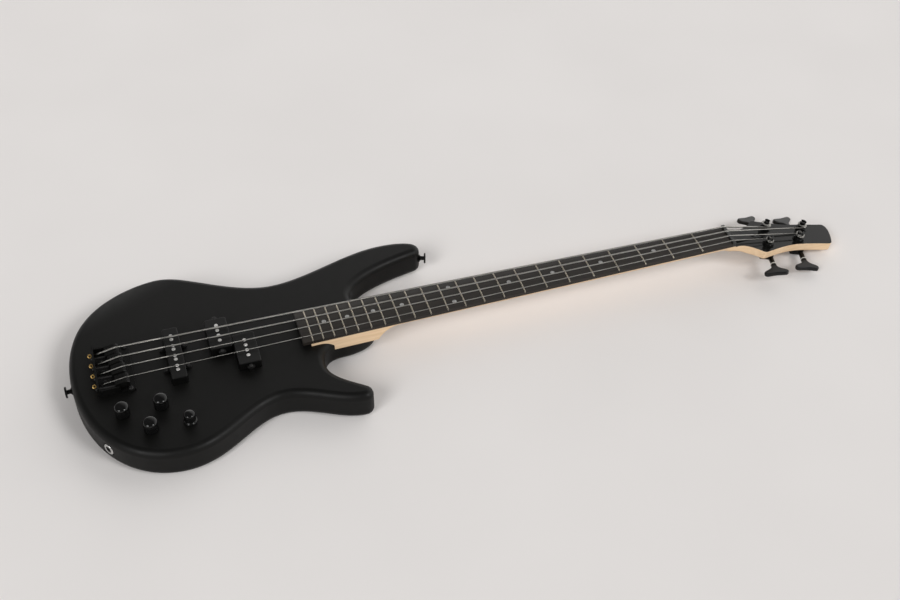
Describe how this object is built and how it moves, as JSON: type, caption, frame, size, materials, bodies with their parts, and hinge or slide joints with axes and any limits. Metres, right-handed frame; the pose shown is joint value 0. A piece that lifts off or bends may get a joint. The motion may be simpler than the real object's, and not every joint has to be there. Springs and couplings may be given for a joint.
{
  "type": "electric bass guitar",
  "caption": "Solid-body electric bass guitar with two unequal horns, a bolt-on neck, a split and a bar pickup, turning knobs, a bridge with sliding saddles and geared tuners.",
  "frame": {"origin": "on the back face of the body, on the centre line, under the bridge end of the string scale", "axes": "+X from the bridge towards the headstock, +Y towards the thickest string, +Z out of the front of the body"},
  "size_m": [1.1235, 0.3327, 0.0638],
  "materials": {
    "satin_black_body": "satin black paint over wood",
    "pale_maple": "satin natural wood, headstock face painted black",
    "dark_board": "dark oiled hardwood",
    "fret_wire": "polished",
    "pearl_dot": "pearl",
    "black_nut": "satin",
    "black_hardware": "satin black plating",
    "black_screw": "black oxide",
    "steel_screw": "plain",
    "wound_string": "round wound",
    "brass_ball": "plain",
    "pickup_plastic": "satin",
    "pole_steel": "bright",
    "copper_coil": "wound wire",
    "foam_sleeve": "soft",
    "pot_metal": "plain",
    "knob_black": "gloss black",
    "chrome_ring": "polished",
    "board_green": "plain",
    "battery_case": "plain",
    "wire_black": "plain",
    "cover_plastic": "fine texture"
  },
  "bodies": {
    "instrument": {"body": "satin_black_body", "control_cover": "cover_plastic", "small_screws": "black_screw", "neck": "pale_maple", "truss_rod": "steel_screw", "truss_rod_cover": "cover_plastic", "fretboard": "dark_board", "frets": "fret_wire", "position_dots": "pearl_dot", "nut": "black_nut", "neck_screws": "steel_screw", "neck_ferrules": "black_hardware", "bridge_plate": "black_hardware", "bridge_screws": "black_screw", "intonation_screws": "black_screw", "string_e": "wound_string", "string_a": "wound_string", "string_d": "wound_string", "string_g": "wound_string", "ball_ends": "brass_ball", "bridge_pickup_cover": "pickup_plastic", "split_cover_bass": "pickup_plastic", "split_cover_treble": "pickup_plastic", "pole_pieces": "pole_steel", "pickup_coils": "copper_coil", "pickup_screws": "black_screw", "pickup_sleeves": "foam_sleeve", "potentiometers": "pot_metal", "output_jack": "black_hardware", "jack_nut": "chrome_ring", "circuit_board": "board_green", "battery": "battery_case", "wiring": "wire_black", "strap_buttons": "black_hardware", "tuner_housings": "black_hardware", "tuner_bushings": "black_hardware"},
    "key_e": {"tuner_key_e": "black_hardware"},
    "post_e": {"tuner_post_e": "black_hardware"},
    "saddle_e": {"saddle_e": "black_hardware", "height_screws_e": "black_screw"},
    "key_a": {"tuner_key_a": "black_hardware"},
    "post_a": {"tuner_post_a": "black_hardware"},
    "saddle_a": {"saddle_a": "black_hardware", "height_screws_a": "black_screw"},
    "key_d": {"tuner_key_d": "black_hardware"},
    "post_d": {"tuner_post_d": "black_hardware"},
    "saddle_d": {"saddle_d": "black_hardware", "height_screws_d": "black_screw"},
    "key_g": {"tuner_key_g": "black_hardware"},
    "post_g": {"tuner_post_g": "black_hardware"},
    "saddle_g": {"saddle_g": "black_hardware", "height_screws_g": "black_screw"},
    "split_volume": {"split_volume_knob": "knob_black", "split_volume_shaft": "pot_metal"},
    "bridge_volume": {"bridge_volume_knob": "knob_black", "bridge_volume_shaft": "pot_metal"},
    "tone": {"tone_knob": "knob_black", "tone_shaft": "pot_metal"},
    "boost": {"boost_knob": "knob_black", "boost_shaft": "pot_metal"}
  },
  "joints": [
    {"name": "key_e_turn", "type": "hinge", "parent": "instrument", "child": "key_e", "pos_m": [0.94184, 0.02051, 0.01239], "axis": [-0.2379, 0.9703, 0.0441], "continuous": true},
    {"name": "post_e_turn", "type": "hinge", "parent": "instrument", "child": "post_e", "pos_m": [0.93733, 0.0185, 0.03224], "axis": [0.1822, 0, 0.9833], "continuous": true, "deforming": ["string_e"]},
    {"name": "key_a_turn", "type": "hinge", "parent": "instrument", "child": "key_a", "pos_m": [0.99985, 0.01401, 0.00164], "axis": [-0.2379, 0.9703, 0.0441], "continuous": true},
    {"name": "post_a_turn", "type": "hinge", "parent": "instrument", "child": "post_a", "pos_m": [0.99534, 0.012, 0.02149], "axis": [0.1822, 0, 0.9833], "continuous": true, "deforming": ["string_a"]},
    {"name": "key_d_turn", "type": "hinge", "parent": "instrument", "child": "key_d", "pos_m": [0.98264, -0.01401, 0.00483], "axis": [-0.2379, -0.9703, 0.0441], "continuous": true},
    {"name": "post_d_turn", "type": "hinge", "parent": "instrument", "child": "post_d", "pos_m": [0.97813, -0.012, 0.02468], "axis": [0.1822, 0, 0.9833], "continuous": true, "deforming": ["string_d"]},
    {"name": "key_g_turn", "type": "hinge", "parent": "instrument", "child": "key_g", "pos_m": [0.92807, -0.02051, 0.01494], "axis": [-0.2379, -0.9703, 0.0441], "continuous": true},
    {"name": "post_g_turn", "type": "hinge", "parent": "instrument", "child": "post_g", "pos_m": [0.92356, -0.0185, 0.03479], "axis": [0.1822, 0, 0.9833], "continuous": true, "deforming": ["string_g"]},
    {"name": "saddle_e_slide", "type": "slide", "parent": "instrument", "child": "saddle_e", "axis": [1, 0, 0], "range_m": [-0.004, 0.004], "deforming": ["string_e"]},
    {"name": "saddle_a_slide", "type": "slide", "parent": "instrument", "child": "saddle_a", "axis": [1, 0, 0], "range_m": [-0.004, 0.004], "deforming": ["string_a"]},
    {"name": "saddle_d_slide", "type": "slide", "parent": "instrument", "child": "saddle_d", "axis": [1, 0, 0], "range_m": [-0.004, 0.004], "deforming": ["string_d"]},
    {"name": "saddle_g_slide", "type": "slide", "parent": "instrument", "child": "saddle_g", "axis": [1, 0, 0], "range_m": [-0.004, 0.004], "deforming": ["string_g"]},
    {"name": "split_volume_turn", "type": "hinge", "parent": "instrument", "child": "split_volume", "pos_m": [-0.016, -0.079, 0.0425], "axis": [0, 0, 1], "range_deg": [-150, 150]},
    {"name": "bridge_volume_turn", "type": "hinge", "parent": "instrument", "child": "bridge_volume", "pos_m": [0.033, -0.079, 0.0425], "axis": [0, 0, 1], "range_deg": [-150, 150]},
    {"name": "tone_turn", "type": "hinge", "parent": "instrument", "child": "tone", "pos_m": [0.015, -0.115, 0.0425], "axis": [0, 0, 1], "range_deg": [-150, 150]},
    {"name": "boost_turn", "type": "hinge", "parent": "instrument", "child": "boost", "pos_m": [0.064, -0.115, 0.0425], "axis": [0, 0, 1], "range_deg": [-150, 150]}
  ],
  "couplings": [
    {"joint": "post_e_turn", "follows": "key_e_turn", "ratio": 0.05},
    {"joint": "post_a_turn", "follows": "key_a_turn", "ratio": 0.05},
    {"joint": "post_d_turn", "follows": "key_d_turn", "ratio": -0.05},
    {"joint": "post_g_turn", "follows": "key_g_turn", "ratio": -0.05}
  ]
}
